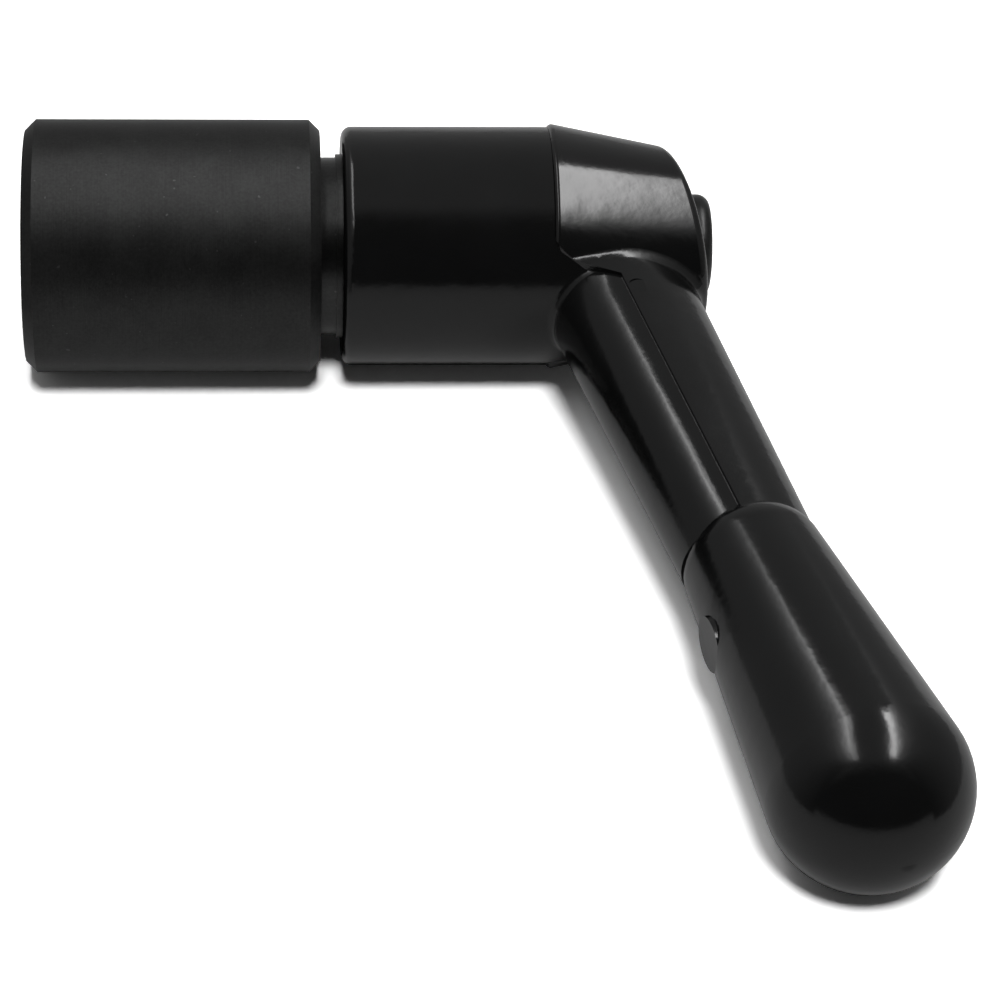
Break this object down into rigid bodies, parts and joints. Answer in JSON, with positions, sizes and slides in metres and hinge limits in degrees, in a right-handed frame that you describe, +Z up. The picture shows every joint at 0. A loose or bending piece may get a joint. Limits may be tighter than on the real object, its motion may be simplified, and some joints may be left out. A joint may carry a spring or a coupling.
{
  "type": "adjustable clamping lever",
  "caption": "Ratchet clamping lever: black die-cast hub, arm and ball-end grip on a toothed insert, with a round tapped clamp nut.",
  "frame": {"origin": "middle of the clamp nut, on the thread axis", "axes": "+X along the thread axis from the nut to the lever's head, +Z up as the part lies on a bench, the lever arm points to -Y"},
  "size_m": [0.0645, 0.0723, 0.019],
  "materials": {
    "black_oxide_steel": "satin black-oxide steel with fine turning marks",
    "stud_steel": "black-oxide threaded steel",
    "insert_steel": "black-oxide turned steel",
    "screw_steel": "black-oxide screw steel",
    "spring_steel": "bright spring wire",
    "black_paint": "gloss black powder coat on a zinc die casting"
  },
  "bodies": {
    "nut": {"clamp_nut": "black_oxide_steel"},
    "stud": {"stud": "stud_steel"},
    "insert": {"toothed_insert": "insert_steel", "retaining_screw": "screw_steel"},
    "spring": {"spring": "spring_steel"},
    "handle": {"lever_handle": "black_paint"}
  },
  "joints": [
    {"name": "clamp_travel", "type": "slide", "parent": "nut", "child": "stud", "axis": [1, 0, 0], "range_m": [0, 0.00625]},
    {"name": "clamp_turn", "type": "hinge", "parent": "stud", "child": "insert", "pos_m": [0.013, 0, 0], "axis": [1, 0, 0], "range_deg": [0, 1800]},
    {"name": "lever_index", "type": "hinge", "parent": "insert", "child": "spring", "pos_m": [0.029, 0, 0], "axis": [1, 0, 0], "continuous": true},
    {"name": "lever_lift", "type": "slide", "parent": "spring", "child": "handle", "axis": [1, 0, 0], "range_m": [0, 0.0045], "stiffness_N_per_m": 1200, "springref_m": -0.003, "deforming": ["spring"]}
  ],
  "couplings": [
    {"joint": "clamp_turn", "follows": "clamp_travel", "rad_per_m": 5026.5}
  ]
}
